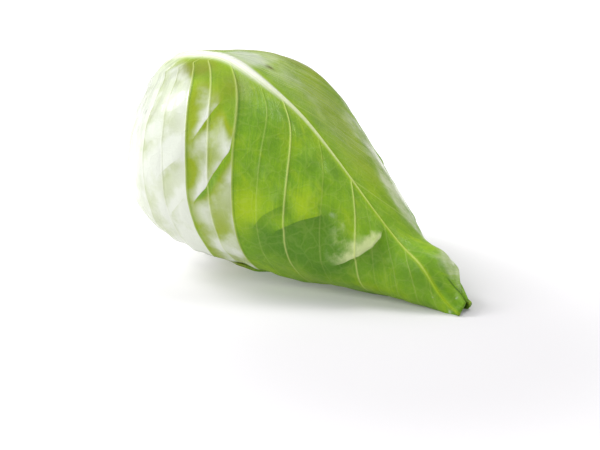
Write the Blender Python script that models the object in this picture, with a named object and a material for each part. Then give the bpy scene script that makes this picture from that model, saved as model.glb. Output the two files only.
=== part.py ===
"""Pointed cabbage lying on its side: a stem stub, a tight inner head and five wrapping leaves."""

import math

import bpy
import bmesh
import numpy as np

# Size and rest, in metres and radians
HEAD_LENGTH = 0.220
TILT = math.radians(20.7)
AXIS_HEIGHT = 0.0788
ORIGIN_X = 0.09976
ORIGIN_Y = -0.0001

# Outline of the head: radius at shares of its length, from the stem end to the tip
STATIONS = (0.0, 0.05, 0.14, 0.27, 0.42, 0.57, 0.72, 0.85, 0.95, 1.0)
RADII = (0.0111, 0.0348, 0.0500, 0.0629, 0.0572, 0.0431, 0.0281, 0.0153, 0.0078, 0.0049)
OVALITY = 0.13
OVAL_TURN = 11.0
# Swellings and hollows: share of the length, angle, reach along, reach round, height
SWELLINGS = (
    (0.16, 5.0, 0.14, 45.0, 0.0009),
    (0.20, -60.0, 0.14, 40.0, 0.0020),
    (0.45, 45.0, 0.16, 40.0, -0.0032),
    (0.90, 10.0, 0.07, 65.0, 0.0084),
)

# Leaves: turn from leaf to leaf, spacing, blade, midrib and veins
LEAF_COUNT = 5
LEAF_TURN = 137.5
LEAF_ENDS = (1.0, 0.989, 0.95, 0.915, 0.885)
LEAF_COLUMNS = (8, 8, 7, 7, 7)
MIDRIB_STATIONS = (0.0, 0.30, 0.50, 0.70, 0.82, 0.92, 1.0)
MIDRIB_ANGLES = (-22.0, -22.0, -16.5, -22.0, -30.0, -43.0, -78.0)
LAYER_STEP = 0.0028
BLADE = 0.0010
THINNEST_BLADE = 0.00064
FULL_RADIUS = 0.035
TIP_SCALE = 0.68
FOOT_START = 0.0026
FOOT_STEP = 0.0025
FOOT_REACH = 0.09
FOOT_ANGLE = 34.0
FOOT_FLESH = 0.0042
FOOT_FLESH_REACH = 0.07
VEIN_STARTS = (
    0.05, 0.087, 0.115, 0.143, 0.175, 0.22, 0.30, 0.40, 0.52, 0.63, 0.71, 0.785, 0.855, 0.93
)
VEIN_SWEEP = 0.46
VEIN_CURVE = 38.0
VEIN_HEIGHT = 0.0013
RIB_HEIGHT = 0.0034
RIB_TIP_HEIGHT = 0.0005
RIB_HALF_WIDTH = 0.0070
RIB_TIP_HALF_WIDTH = 0.0012
APEX_DROP = 0.03
APEX_REACH = 0.45
EDGE_LIFT = 0.0014
EDGE_WAVES = 5.0
COVER_MARGINS = (4.0, 6.0, 12.0, 14.0, 14.0)
COVER_RAMP = 20.0
TIP_CROWD = 0.68

# Half width of a leaf, in degrees round the head, at the starts of its veins on the midrib
WIDTH_STATIONS = (0.0, 0.06, 0.17, 0.35, 0.60, 0.82, 0.93, 1.0)
LEFT_WIDTHS = (88.0, 97.0, 112.0, 124.0, 135.0, 142.0, 136.0, 118.0)
RIGHT_WIDTHS = (80.0, 86.0, 92.0, 96.0, 98.0, 92.0, 80.0, 74.0)
INNER_WIDTHS = (80.0, 86.0, 92.0, 98.0, 120.0, 137.0, 130.0, 110.0)

# Inner head and stem
HEART_END = 0.85
HEART_RINGS = 18
HEART_SIDES = 30
HEART_FOLD = 0.0010
HEART_GAP = 0.0012
STEM_CUT = -0.0060
STEM_RADIUS = 0.0150
STEM_CORE_RADIUS = 0.0122
STEM_DEPTH = 0.0480
STEM_SIDES = 24
FIT_GAP = 0.0005


def clear_scene():
    for item in list(bpy.data.objects):
        bpy.data.objects.remove(item, do_unlink=True)


def make_material(name, colour, roughness):
    material = bpy.data.materials.new(name)
    material.use_nodes = True
    shader = material.node_tree.nodes["Principled BSDF"]
    shader.inputs["Base Color"].default_value = (*colour, 1.0)
    shader.inputs["Roughness"].default_value = roughness
    shader.inputs["Metallic"].default_value = 0.0
    return material


def ease(x):
    """Smooth step from 0 to 1."""
    x = np.clip(x, 0.0, 1.0)
    return x * x * (3.0 - 2.0 * x)


def smooth_curve(x, stations, values):
    """Smooth curve through the values at the stations."""
    stations = np.asarray(stations)
    values = np.asarray(values)
    slopes = np.gradient(values, stations)
    x = np.clip(x, stations[0], stations[-1])
    i = np.clip(np.searchsorted(stations, x, side="right") - 1, 0, len(stations) - 2)
    span = stations[i + 1] - stations[i]
    t = (x - stations[i]) / span
    start = values[i] * (1 + 2 * t) * (1 - t) ** 2 + slopes[i] * span * t * (1 - t) ** 2
    finish = values[i + 1] * t * t * (3 - 2 * t) - slopes[i + 1] * span * t * t * (1 - t)
    return start + finish


def turned(angle):
    """Angle in degrees brought between -180 and 180."""
    return (np.asarray(angle) + 180.0) % 360.0 - 180.0


def mean_radius(u):
    """Radius of the head at a share of its length; the root makes the stem end blunt."""
    return smooth_curve(np.sqrt(u), np.sqrt(STATIONS), RADII)


def head_radius(u, angle):
    oval = OVALITY * (1.0 - np.exp(-u / 0.1))
    radius = mean_radius(u) * (1.0 - oval * np.cos(np.radians(2.0 * (angle - OVAL_TURN))))
    for place, turn, along, around, height in SWELLINGS:
        reach = ((u - place) / along) ** 2 + (turned(angle - turn) / around) ** 2
        radius = radius + height * np.exp(-reach)
    return radius


def head_point(root, angle):
    """Point of the head's outside; root is the square root of the share of its length."""
    u = root * root
    radius = head_radius(u, angle)
    round_head = np.radians(angle)
    return np.stack([u * HEAD_LENGTH, radius * np.sin(round_head), radius * np.cos(round_head)], -1)


def head_normal(root, angle):
    step = 0.002
    low = np.clip(root - step, 0.0, None)
    along = head_point(root + step, angle) - head_point(low, angle)
    around = head_point(root, angle + 1.0) - head_point(root, angle - 1.0)
    normal = np.cross(along, around)
    return normal / np.linalg.norm(normal, axis=-1, keepdims=True)


def laid_down(points, depth):
    """Tilt the head onto its side, and flatten what the surface below it presses in."""
    x = points[..., 0] * math.cos(TILT) + points[..., 2] * math.sin(TILT) - ORIGIN_X
    y = points[..., 1] - ORIGIN_Y
    z = points[..., 2] * math.cos(TILT) - points[..., 0] * math.sin(TILT) + AXIS_HEIGHT
    return np.stack([x, y, np.maximum(z, np.maximum(depth, 0.0))], -1)


def shell_point(u, angle, depth):
    """Point at a depth below the head's outside, or above it where the depth is negative."""
    u, angle, depth = np.broadcast_arrays(u, angle, depth)
    root = np.sqrt(u)
    points = head_point(root, angle) - head_normal(root, angle) * depth[..., None]
    return laid_down(points, depth)


def layer_scale(u):
    """Layers and relief get finer as the head narrows to its tip."""
    return np.clip(mean_radius(u) / FULL_RADIUS, TIP_SCALE, 1.0)


def midrib_angle(leaf, u):
    """Angle round the head of a leaf's midrib, which winds a little as it runs to the tip."""
    return LEAF_TURN * leaf + smooth_curve(u, MIDRIB_STATIONS, MIDRIB_ANGLES)


def half_width(leaf, start, side):
    if leaf > 0:
        return smooth_curve(start, WIDTH_STATIONS, INNER_WIDTHS)
    left = smooth_curve(start, WIDTH_STATIONS, LEFT_WIDTHS)
    right = smooth_curve(start, WIDTH_STATIONS, RIGHT_WIDTHS)
    return np.where(side < 0, left, right)


def sweep(start, away):
    """How far up the head a vein has run, at an angle away from the midrib."""
    slack = FOOT_ANGLE * (1.0 - ease(start / 0.22))
    lean = VEIN_SWEEP * (1.0 - start) * (0.3 + 0.7 * ease(start / 0.2))
    rise = 1.0 - np.exp(-np.maximum(away - slack, 0.0) / VEIN_CURVE)
    apex = APEX_DROP * ease((start - 0.6) / 0.4) * ((away / 140.0) ** 2 - APEX_REACH)
    return lean * rise - apex


def leaf_place(leaf, start, across):
    """Share of the head's length and angle, at a vein's start and a share of the half width."""
    start, across = np.broadcast_arrays(start, across)
    away = np.abs(across) * half_width(leaf, start, across)
    return (start + sweep(start, away)) * LEAF_ENDS[leaf], away * np.sign(across)


def vein_start(share, away):
    """Start of the vein that passes through a place on a leaf, found by halving."""
    low = np.zeros(np.shape(share))
    high = np.ones(np.shape(share))
    for _ in range(24):
        middle = (low + high) / 2.0
        short = middle + sweep(middle, away) < share
        low = np.where(short, middle, low)
        high = np.where(short, high, middle)
    return np.clip(low, FOOT_START, 1.0)


def leaf_cover(leaf, u, angle):
    """1 under a leaf, falling smoothly to 0 a little way past its edges."""
    away = turned(angle - midrib_angle(leaf, u))
    share = u / LEAF_ENDS[leaf]
    start = vein_start(share, np.abs(away))
    beyond_side = np.abs(away) - half_width(leaf, start, away) - COVER_MARGINS[leaf]
    foot = FOOT_START + sweep(FOOT_START, np.abs(away))
    beyond_foot = np.sqrt(foot) - np.sqrt(share) - 0.012
    beyond_tip = share - 1.0 - sweep(1.0, np.abs(away)) - 0.01
    side = 1.0 - ease(beyond_side / COVER_RAMP)
    if leaf > 0:
        side = np.maximum(side, ease((u - TIP_CROWD) / 0.12))
    return side * (1.0 - ease(beyond_foot / 0.08)) * (1.0 - ease(beyond_tip / 0.05))


def layer_depth(layer, u, angle):
    """Depth of a leaf's outside: one step for each leaf that lies over it."""
    covers = [leaf_cover(other, u, angle) for other in range(layer)]
    hidden = np.max(covers, axis=0) if covers else np.zeros(np.shape(u))
    steps = sum(covers) if covers else 0.0
    foot = FOOT_STEP * layer * (1.0 - ease(u / FOOT_REACH))
    return LAYER_STEP * layer_scale(u) * steps + foot, hidden


def rib_size(share):
    height = RIB_TIP_HEIGHT + (RIB_HEIGHT - RIB_TIP_HEIGHT) * (1.0 - share) ** 1.4
    width = RIB_TIP_HALF_WIDTH + (RIB_HALF_WIDTH - RIB_TIP_HALF_WIDTH) * (1.0 - share) ** 1.3
    return height, width


def row_starts():
    """Rows run along the veins and halfway between them; every second row is a vein."""
    ends = (FOOT_START,) + VEIN_STARTS + (1.0,)
    rows = [ends[0]]
    for low, high in zip(ends, ends[1:]):
        rows += [(low + high) / 2.0, high]
    return np.array(rows)


def leaf_grid(leaf):
    """Shares and angles of a leaf's grid, with the distance from the midrib at each point."""
    starts = row_starts()
    count = LEAF_COLUMNS[leaf]
    rib_u = starts * LEAF_ENDS[leaf]
    rib_reach = np.degrees(rib_size(starts)[1] / (mean_radius(rib_u) + 0.002))
    widths = half_width(leaf, starts, np.ones(len(starts)))
    rib_share = np.minimum(rib_reach / widths, 0.30)
    columns = []
    for side in (-1.0, 1.0):
        for share in (0.55, 1.35):
            columns.append(side * share * rib_share)
        for i in range(count):
            columns.append(side * (1.35 * rib_share + (1.0 - 1.35 * rib_share) * (i + 1) / count))
    columns.append(0.0 * rib_share)
    across = np.array(sorted(columns, key=lambda column: column[0])).T
    u, away = leaf_place(leaf, starts[:, None], across)
    return starts, across, u, away


def leaf_relief(starts, across, u, away):
    """Height of the midrib, the veins and the lifted edge above the blade."""
    height, width = rib_size(starts[:, None])
    distance = np.radians(np.abs(away)) * mean_radius(u)
    rib = height * np.exp(-(distance / width) ** 2 * 1.4)
    is_vein = (np.arange(len(starts)) % 2 == 0).astype(float)
    is_vein[[0, -1]] = 0.0
    fade = 1.0 - 0.8 * ease((np.abs(across) - 0.55) / 0.45)
    vein = VEIN_HEIGHT * layer_scale(u) * is_vein[:, None] * fade * (np.abs(across) > 1e-6)
    edge = ease((np.abs(across) - 0.78) / 0.22)
    tip_edge = ease((starts[:, None] - 0.88) / 0.12)
    wave = 0.55 + 0.45 * np.sin(2.0 * math.pi * EDGE_WAVES * (u + across * 0.35))
    lift = EDGE_LIFT * np.maximum(edge, tip_edge) * wave
    return np.maximum(rib, vein) + lift


def add_grid(mesh, points):
    return [[mesh.verts.new(point) for point in row] for row in points]


def add_quads(mesh, grid, rows, columns, flip):
    """Triangles over a grid, split alike whichever way they face, and mirrored about its middle."""
    for i in range(rows):
        for j in range(columns):
            a, b = grid[i][j], grid[i][(j + 1) % len(grid[i])]
            c, d = grid[i + 1][(j + 1) % len(grid[i])], grid[i + 1][j]
            rising = ((a, b, c), (a, c, d))
            falling = ((a, b, d), (b, c, d))
            for corners in rising if j < columns / 2 else falling:
                mesh.faces.new(corners[::-1] if flip else corners)


def border(grid):
    """Vertices round the edge of a grid, in order."""
    last = len(grid) - 1
    right = [grid[i][-1] for i in range(1, last)]
    left = [grid[i][0] for i in range(last - 1, 0, -1)]
    return grid[0] + right + grid[last][::-1] + left


def finish_object(name, mesh, material):
    bmesh.ops.recalc_face_normals(mesh, faces=mesh.faces)
    data = bpy.data.meshes.new(name)
    mesh.to_mesh(data)
    mesh.free()
    data.materials.append(material)
    data.shade_smooth()
    piece = bpy.data.objects.new(name, data)
    bpy.context.scene.collection.objects.link(piece)
    return piece


def make_leaf(leaf, material):
    starts, across, u, away = leaf_grid(leaf)
    angle = midrib_angle(leaf, u) + away
    depth, hidden = layer_depth(leaf, u, angle)
    relief = leaf_relief(starts, across, u, away) * (1.0 - 0.88 * hidden)
    foot = (1.0 - ease(u / FOOT_FLESH_REACH)) * np.exp(-(away / FOOT_ANGLE) ** 2)
    blade = np.maximum(BLADE * layer_scale(u), THINNEST_BLADE) + FOOT_FLESH * foot
    mesh = bmesh.new()
    outside = add_grid(mesh, shell_point(u, angle, depth - relief))
    inside = add_grid(mesh, shell_point(u, angle, depth + blade))
    rows, columns = len(starts) - 1, across.shape[1] - 1
    add_quads(mesh, outside, rows, columns, False)
    add_quads(mesh, inside, rows, columns, True)
    outer_edge, inner_edge = border(outside), border(inside)
    for i in range(len(outer_edge)):
        a, b = outer_edge[i - 1], outer_edge[i]
        c, d = inner_edge[i], inner_edge[i - 1]
        mesh.faces.new((b, a, d))
        mesh.faces.new((b, d, c))
    return finish_object(f"leaf_{leaf + 1}", mesh, material)


def axis_ring(x, radius, sides):
    """Ring of points round the head's axis."""
    angle = np.arange(sides) * 2.0 * math.pi / sides
    ring = np.stack([np.full(sides, x), radius * np.sin(angle), radius * np.cos(angle)], -1)
    return laid_down(ring, np.zeros(sides))


def add_cap(mesh, ring, centre, flip):
    middle = mesh.verts.new(centre)
    for i in range(len(ring)):
        corners = (ring[i - 1], ring[i], middle)
        mesh.faces.new(corners[::-1] if flip else corners)


def make_heart(material):
    """Tight inner head with folded ridges, and a socket for the stem's core."""
    share = np.linspace(0.0, 1.0, HEART_RINGS)[:, None]
    u = FOOT_START + (HEART_END - FOOT_START) * share ** 1.5
    angle = np.arange(HEART_SIDES)[None, :] * 360.0 / HEART_SIDES
    u, angle = np.broadcast_arrays(u, angle)
    depth, _ = layer_depth(LEAF_COUNT, u, angle)
    fold = HEART_FOLD * layer_scale(u) * np.cos(np.radians(angle * 2.0 - 300.0 * u))
    outer = shell_point(u, angle, depth + HEART_GAP + HEART_FOLD + fold)
    mesh = bmesh.new()
    mouth = axis_ring(STEM_DEPTH * 0.72, STEM_CORE_RADIUS + FIT_GAP, HEART_SIDES)
    floor = axis_ring(STEM_DEPTH + FIT_GAP, STEM_CORE_RADIUS + FIT_GAP, HEART_SIDES)
    grid = add_grid(mesh, np.concatenate([[floor, mouth], outer]))
    add_quads(mesh, grid, len(grid) - 1, HEART_SIDES, False)
    add_cap(mesh, grid[0], floor.mean(0), True)
    tip = outer[-1].mean(0) + (outer[-1].mean(0) - outer[-2].mean(0)) * 0.25
    add_cap(mesh, grid[-1], tip, False)
    return finish_object("inner_head", mesh, material)


def make_stem(material):
    """Stub of the stem: a slightly domed cut face outside, and a core that runs into the head."""
    profile = (
        (STEM_CUT, STEM_RADIUS - 0.0012),
        (STEM_CUT + 0.0008, STEM_RADIUS),
        (-0.0010, STEM_RADIUS - 0.0006),
        (0.0040, STEM_CORE_RADIUS),
        (STEM_DEPTH - 0.0010, STEM_CORE_RADIUS),
        (STEM_DEPTH, STEM_CORE_RADIUS - 0.0010),
    )
    mesh = bmesh.new()
    rings = np.array([axis_ring(x, radius, STEM_SIDES) for x, radius in profile])
    grid = add_grid(mesh, rings)
    add_quads(mesh, grid, len(grid) - 1, STEM_SIDES, False)
    dome = laid_down(np.array([STEM_CUT - 0.0006, 0.0, 0.0]), 0.0)
    add_cap(mesh, grid[0], dome, True)
    add_cap(mesh, grid[-1], rings[-1].mean(0), False)
    return finish_object("stem", mesh, material)


def main():
    clear_scene()
    leaf_green = make_material("leaf_green", (0.20, 0.38, 0.045), 0.42)
    heart_cream = make_material("heart_cream", (0.74, 0.80, 0.44), 0.50)
    stem_white = make_material("stem_white", (0.80, 0.82, 0.66), 0.60)
    make_stem(stem_white)
    make_heart(heart_cream)
    for leaf in range(LEAF_COUNT):
        make_leaf(leaf, leaf_green)


main()
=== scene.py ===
"""Looks of a pointed cabbage that lies on a white table: its leaves, stem, light and camera."""

import math

import bpy
import numpy as np
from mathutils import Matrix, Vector


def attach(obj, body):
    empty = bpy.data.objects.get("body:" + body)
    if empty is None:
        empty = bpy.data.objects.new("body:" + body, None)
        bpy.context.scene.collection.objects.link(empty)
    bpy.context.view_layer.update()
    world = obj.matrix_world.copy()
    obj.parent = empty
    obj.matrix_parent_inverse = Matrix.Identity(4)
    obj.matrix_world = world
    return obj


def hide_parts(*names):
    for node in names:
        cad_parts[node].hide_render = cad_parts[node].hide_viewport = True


# Size and rest of the head, in metres and radians
HEAD_LENGTH = 0.220
TILT = math.radians(20.7)
AXIS_HEIGHT = 0.0788
ORIGIN_X = 0.09976
ORIGIN_Y = -0.0001

# Outline of the head: radius at shares of its length, from the stem end to the tip
STATIONS = (0.0, 0.05, 0.14, 0.27, 0.42, 0.57, 0.72, 0.85, 0.95, 1.0)
RADII = (0.0111, 0.0348, 0.0500, 0.0629, 0.0572, 0.0431, 0.0281, 0.0153, 0.0078, 0.0049)
OVALITY = 0.13
OVAL_TURN = 11.0
# Swellings and hollows: share of the length, angle, reach along, reach round, height
SWELLINGS = (
    (0.16, 5.0, 0.14, 45.0, 0.0009),
    (0.20, -60.0, 0.14, 40.0, 0.0020),
    (0.45, 45.0, 0.16, 40.0, -0.0032),
    (0.90, 10.0, 0.07, 65.0, 0.0084),
)

# Leaves: turn from leaf to leaf, layers, and half widths in degrees round the head
LEAF_COUNT = 5
LEAF_TURN = 137.5
LEAF_ENDS = (1.0, 0.989, 0.95, 0.915, 0.885)
MIDRIB_STATIONS = (0.0, 0.30, 0.50, 0.70, 0.82, 0.92, 1.0)
MIDRIB_ANGLES = (-22.0, -22.0, -16.5, -22.0, -30.0, -43.0, -78.0)
LAYER_STEP = 0.0028
BLADE = 0.0010
THINNEST_BLADE = 0.00064
FULL_RADIUS = 0.035
TIP_SCALE = 0.68
FOOT_START = 0.0026
FOOT_STEP = 0.0025
FOOT_REACH = 0.09
FOOT_ANGLE = 34.0
FOOT_FLESH = 0.0042
FOOT_FLESH_REACH = 0.07
VEIN_SWEEP = 0.46
VEIN_CURVE = 38.0
APEX_DROP = 0.03
APEX_REACH = 0.45
EDGE_LIFT = 0.0014
EDGE_WAVES = 5.0
COVER_MARGINS = (4.0, 6.0, 12.0, 14.0, 14.0)
COVER_RAMP = 20.0
TIP_CROWD = 0.68
WIDTH_STATIONS = (0.0, 0.06, 0.17, 0.35, 0.60, 0.82, 0.93, 1.0)
LEFT_WIDTHS = (88.0, 97.0, 112.0, 124.0, 135.0, 142.0, 136.0, 118.0)
RIGHT_WIDTHS = (80.0, 86.0, 92.0, 96.0, 98.0, 92.0, 80.0, 74.0)
INNER_WIDTHS = (80.0, 86.0, 92.0, 98.0, 120.0, 137.0, 130.0, 110.0)

# Side veins: where each starts along the midrib, its strength, the swelling past it, how far
# the leaf steps down past it, and how pale it is just past it and just before the next one
# The paleness is blanching, with painted light that makes each panel paler towards its next vein
VEINS = (
    (0.045, 0.45, 1.0, 0.4, 1.00, 1.00), (0.088, 0.60, 1.0, 0.9, 0.80, 1.00),
    (0.112, 0.55, 1.2, 0.9, 0.84, 1.00), (0.136, 0.80, 1.0, 1.6, 0.18, 0.76),
    (0.157, 0.75, 1.2, 0.6, 0.48, 0.70), (0.189, 0.80, 0.3, 1.6, 0.0, 0.0),
    (0.268, 0.30, 0.8, 0.5, 0.0, 0.0), (0.370, 1.00, 1.0, 0.7, 0.0, 0.0),
    (0.504, 0.25, 0.8, 0.6, 0.0, 0.0), (0.636, 0.90, 1.0, 0.4, 0.0, 0.0),
    (0.700, 0.20, 0.8, 0.2, 0.0, 0.0), (0.780, 0.25, 0.8, 0.2, 0.0, 0.0),
    (0.854, 0.30, 0.7, 0.2, 0.0, 0.0), (0.925, 0.20, 0.5, 0.2, 0.0, 0.0),
)
VEIN_STARTS = np.array([vein[0] for vein in VEINS])
# How far the side veins follow the midrib before they turn away from it
HUG_STATIONS = (0.0, 0.10, 0.19, 0.27, 0.37, 0.50, 0.63, 0.85, 1.0)
HUG_RISE = (0.0, 0.030, 0.060, 0.058, 0.028, 0.012, 0.0, -0.030, 0.0)
HUG_ANGLE = 25.0
VEIN_HEIGHT = 0.0007
VEIN_HALF_WIDTH = 0.00046
VEIN_STEP = 0.0008
STEP_REACH = 0.0030
RIGHT_RELIEF = 0.2
# Grid of a leaf: rows along the veins, closer beside each vein, and columns on each side
ROW_STEP = 0.0058
VEIN_CLEARANCE = 0.0085
ROWS_BY_VEIN = (-0.0068, -0.0036, -0.0016, 0.0, 0.0016, 0.0036, 0.0068)
LEAF_COLUMNS = 72
# The innermost leaves, which are hidden, have a coarser grid
COARSE_LEAF = 3
COARSE_ROWS = 1.9
COARSE_COLUMNS = 44
# Midrib
RIB_HEIGHT = 0.0034
RIB_TIP_HEIGHT = 0.0005
RIB_HALF_WIDTH = 0.0076
RIB_TIP_HALF_WIDTH = 0.00028
# Swelling and puckers between the veins, and fibres along the midrib
PUFF = 0.0009
PUCKER_LENGTH = 0.022
PUCKER_HEIGHT = 0.00022
PUCKER_SLANT = 0.6
PUCKER_SHIFT = 0.45
PUCKER_WAVER = 0.08
PUCKER_WAVER_LENGTH = 0.006
FIBRE_HEIGHT = 0.00007
FIBRES = 8.0
# Uneven waves of the leaves: length and height
BROAD_WAVE = (0.045, 0.0005)
SMALL_WAVE = (0.012, 0.00020)
EDGE_FRILL = (0.016, 0.0005)
HEART_RIPPLE = (0.02, 0.0004)
# How far each leaf is pale from its foot, as a share of its length
PALE_REACH = (0.0, 0.16, 0.26, 0.55, 0.75)
# The last vein of the pale panels, as its start along the midrib
PALE_END = 0.189

# Folds of the outer leaf: share of the length and angle of points on each line
FIRST_FOLD = ((0.590, -86.0), (0.616, -76.0), (0.626, -72.0), (0.645, -66.0), (0.656, -62.0))
SIDE_FOLD = ((0.545, -88.0), (0.554, -80.0), (0.571, -73.0), (0.583, -68.0))
SECOND_FOLD = (
    (0.726, -94.0), (0.742, -88.0), (0.768, -73.0), (0.780, -59.0), (0.779, -44.0), (0.770, -36.0)
)
# Slanting puckers of the pale panels: points on the line, painted highlight before it, painted shade past
# it, reach
PUCKERS = (
    (((0.347, -63.0), (0.345, -58.0), (0.341, -52.0), (0.334, -44.0)), 0.45, 0.75, 0.0070),
    (((0.410, -88.0), (0.424, -80.0), (0.428, -70.0), (0.429, -60.0), (0.398, -48.0)), 0.50, 0.95, 0.0100),
    (((0.307, -86.0), (0.324, -80.0), (0.342, -74.0)), 0.10, 0.25, 0.0070),
    (((0.357, -100.0), (0.377, -92.0), (0.389, -86.0)), 0.20, 0.25, 0.0050),
)
# Relief of the folds: line, how far the leaf swells before it, and how high
CREASES = (
    (FIRST_FOLD, 0.010, 0.0014), (SIDE_FOLD, 0.008, 0.0005), (SECOND_FOLD, 0.012, 0.0022),
    (PUCKERS[0][0], 0.005, 0.0005), (PUCKERS[1][0], 0.005, 0.0007), (PUCKERS[2][0], 0.006, 0.0004),
)
# Painted highlight before the second fold: how far it reaches back, at each angle
HIGHLIGHT_ANGLES = (-96.0, -88.0, -80.0, -73.0, -66.0, -58.0, -54.0, -50.0, -46.0, -42.0, -37.0)
HIGHLIGHT_REACH = (0.010, 0.032, 0.044, 0.054, 0.070, 0.078, 0.054, 0.034, 0.046, 0.024, 0.006)
# Fold that runs down to the tip
TIP_FOLD_STATIONS = (0.935, 0.944, 0.976, 1.0)
TIP_FOLD_ANGLES = (-18.0, -14.0, -8.0, -5.0)
TIP_FOLD_HEIGHT = 0.0010
# Patches of the outer leaf: share of the length, angle, reach along, reach round, strength
# Dark green patches: partly the leaf's own darker green, partly painted shade low on the head and past the
# folds
DEEP_GREEN_AND_SHADE_PATCHES = (
    (0.69, -96.0, 0.08, 24.0, 1.0), (0.58, -94.0, 0.06, 16.0, 0.9), (0.36, -42.0, 0.05, 8.0, 0.6),
    (0.46, -40.0, 0.05, 9.0, 0.4), (0.87, -60.0, 0.09, 40.0, 0.5), (0.67, -64.0, 0.025, 14.0, 0.6),
    (0.80, -66.0, 0.020, 20.0, 0.5), (0.71, -86.0, 0.045, 14.0, 0.8), (0.43, -27.0, 0.03, 6.0, 0.4),
    (0.945, -38.0, 0.012, 9.0, 0.7), (0.93, -4.0, 0.016, 9.0, 0.6), (0.55, -52.0, 0.02, 7.0, 0.4),
)
LIME_PATCHES = (
    (0.515, -80.0, 0.035, 12.0, 1.0), (0.61, -60.0, 0.025, 9.0, 0.6), (0.31, -44.0, 0.05, 12.0, 0.7),
    (0.40, 14.0, 0.20, 26.0, 0.3), (0.66, 10.0, 0.16, 22.0, 0.3), (0.70, -48.0, 0.04, 12.0, 0.4),
)
# Painted highlights and glints, partly the pale wax of the skin
GLINT_AND_BLOOM_PATCHES = (
    (0.675, -56.0, 0.016, 4.0, 0.5), (0.245, -12.0, 0.06, 13.0, 1.2), (0.984, -29.0, 0.005, 12.0, 0.6),
    (0.944, -74.0, 0.005, 5.0, 0.6), (0.990, -95.0, 0.008, 24.0, 0.8),
)
# Painted reflection: pale sheen on the rims where the leaf turns away
RIM_SHEEN_PATCHES = (
    (0.49, 42.0, 0.06, 14.0, 1.3), (0.58, 44.0, 0.06, 13.0, 1.2), (0.71, 42.0, 0.10, 17.0, 2.9),
    (0.93, 20.0, 0.05, 24.0, 2.1), (0.44, 6.0, 0.10, 12.0, 0.45), (0.28, 2.0, 0.08, 16.0, 0.8),
)
SPOTS = (
    (0.301, -7.0, 0.0048, 1.6, 1.0), (0.306, -5.5, 0.010, 1.0, 0.7), (0.178, -68.0, 0.004, 1.2, 0.5),
    (0.215, -66.0, 0.003, 2.0, 0.4),
)
# Olive patches; the first is painted shadow beside the midrib near its foot
OLIVE_AND_RIB_SHADOW_PATCHES = (
    (0.20, -35.0, 0.050, 8.0, 1.7), (0.32, -34.0, 0.04, 9.0, 0.6), (0.45, 20.0, 0.26, 30.0, 0.42),
)

# Inner head and stem
HEART_END = 0.85
HEART_RINGS = 120
HEART_FACETS = 180
HEART_FOLD = 0.0010
HEART_GAP = 0.0012
STEM_CUT = -0.0060
STEM_RADIUS = 0.0150
STEM_CORE_RADIUS = 0.0122
STEM_DEPTH = 0.0480
STEM_FACETS = 96
FIT_GAP = 0.0005

# Patterns of the skin: scale of clouds and speckle, and stretch along, across and by rows
CLOUD_SCALE = 42.0
BLANCH_SCALE = 55.0
SPECKLE_SCALE = 75.0
STREAK_STRETCH = (60.0, 22.0, 420.0)
BLOTCH_STRETCH = (70.0, 150.0, 0.0)
LINE_STRETCH = (9.0, 14.0, 1100.0)
SPECKLE_STRETCH = (30.0, 40.0, 900.0)
FIBRE_STRETCH = (14.0, 1500.0, 0.0)
FILM_STRETCH = (26.0, 46.0, 160.0)
# Fine net of veins: scales of its wide and fine meshes, and how much they wander
NET_SCALES = (130.0, 330.0)
NET_WANDER = (0.006, 0.006, 0.006)
NET_SHARE = 0.08
# How far the shade reaches on each side of a fold
FIRST_FOLD_SHADE = 0.024
SIDE_FOLD_SHADE = 0.014
# Colours of the leaf's skin, of what lies on it, and of its painted highlight, sheen and shadow
SKIN_COLOURS = (
    ("Deep", "NodeSocketColor", (0.075, 0.205, 0.012)),
    ("Green", "NodeSocketColor", (0.215, 0.415, 0.014)),
    ("Lime", "NodeSocketColor", (0.370, 0.530, 0.008)),
    ("Olive", "NodeSocketColor", (0.205, 0.240, 0.018)),
    ("Pale", "NodeSocketColor", (0.70, 0.735, 0.64)),
    ("Rib", "NodeSocketColor", (0.90, 0.92, 0.84)),
    ("Vein", "NodeSocketColor", (0.64, 0.72, 0.22)),
)
STREAK_COLOUR = (0.58, 0.64, 0.36)
PAINTED_HIGHLIGHT_COLOUR = (0.67, 0.74, 0.36)
RIM_SHEEN_COLOUR = (0.74, 0.80, 0.52)
FOLD_SHADOW = (0.035, 0.100, 0.008)
RIB_TIP_COLOUR = (0.50, 0.62, 0.12)
SPOT_COLOUR = (0.09, 0.07, 0.012)
MIDDLE_LEAF_COLOURS = {"Deep": (0.16, 0.32, 0.030), "Green": (0.27, 0.44, 0.035)}
INNER_LEAF_COLOURS = {
    "Deep": (0.38, 0.50, 0.12), "Green": (0.52, 0.62, 0.20), "Lime": (0.62, 0.70, 0.25),
}
# Bump: strength and depth
LEAF_BUMP = (0.25, 0.0003)
STEM_BUMP = (0.4, 0.0005)
# Colours of the stem: the ends of its side's and its pith's range, and its bark
STEM_SIDES = ((0.62, 0.70, 0.40), (0.82, 0.85, 0.68))
STEM_PITH = ((0.78, 0.74, 0.52), (0.86, 0.84, 0.70))
STEM_BARK = (0.52, 0.42, 0.22)

# Table: half its side, its colour, and its painted glow, which grows away from the head so the paper is
# darker round it as a painted shadow
TABLE_REACH = 6.0
TABLE_COLOUR = (0.66, 0.645, 0.66, 1.0)
GLOW_MIDDLE = (0.125, -0.057, 0.0)
GLOW_REACH = (0.05, 0.27)
GLOW_COLOURS = ((0.10, 0.10, 0.10), (0.52, 0.52, 0.52))
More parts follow.
